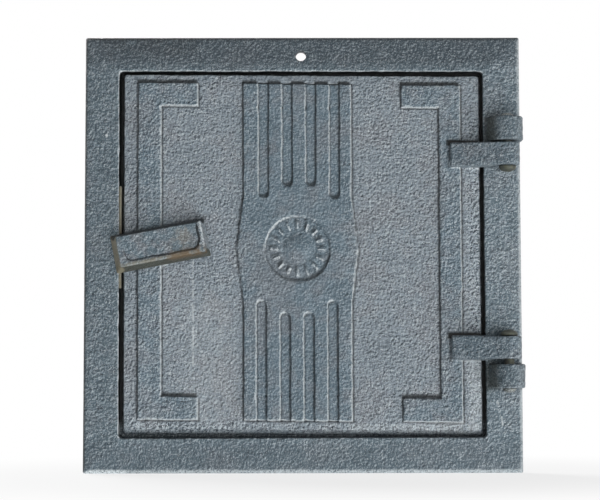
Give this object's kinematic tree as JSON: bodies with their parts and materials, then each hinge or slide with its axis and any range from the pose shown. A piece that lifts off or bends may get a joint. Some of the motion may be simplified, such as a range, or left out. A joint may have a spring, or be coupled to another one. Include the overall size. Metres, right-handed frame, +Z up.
{
  "type": "cast iron stove door",
  "caption": "Square cast iron stove door: a flanged frame with a rear collar, a fluted leaf on riveted knuckle hinges, and a turning latch.",
  "frame": {"origin": "centre of the frame's opening, in the plane of the flange's back face, which lies against the stove's wall", "axes": "+X to the right as seen from in front, +Y into the wall, +Z up; the door's face looks along -Y"},
  "size_m": [0.2703, 0.0496, 0.27],
  "materials": {
    "cast_iron": "sand-cast, blue-grey",
    "cast_iron_leaf": "sand-cast, blue-grey with a brown tint",
    "cast_iron_latch": "sand-cast, rusted at the edges",
    "rivet_steel": "dull, slightly rusty",
    "fastener_steel": "dull"
  },
  "bodies": {
    "frame": {"frame": "cast_iron", "upper_hinge_rivet": "rivet_steel", "lower_hinge_rivet": "rivet_steel"},
    "door": {"door_leaf": "cast_iron_leaf"},
    "latch": {"latch_handle": "cast_iron_latch", "latch_washer": "fastener_steel", "latch_cam": "cast_iron_latch", "latch_nut": "fastener_steel"}
  },
  "joints": [
    {"name": "door_swing", "type": "hinge", "parent": "frame", "child": "door", "pos_m": [0.1257, -0.01499, 0], "axis": [0, 0, 1], "range_deg": [0, 175]},
    {"name": "latch_turn", "type": "hinge", "parent": "door", "child": "latch", "pos_m": [-0.0911, 0, 0.0034], "axis": [0, 1, 0], "range_deg": [-75, 28]}
  ]
}
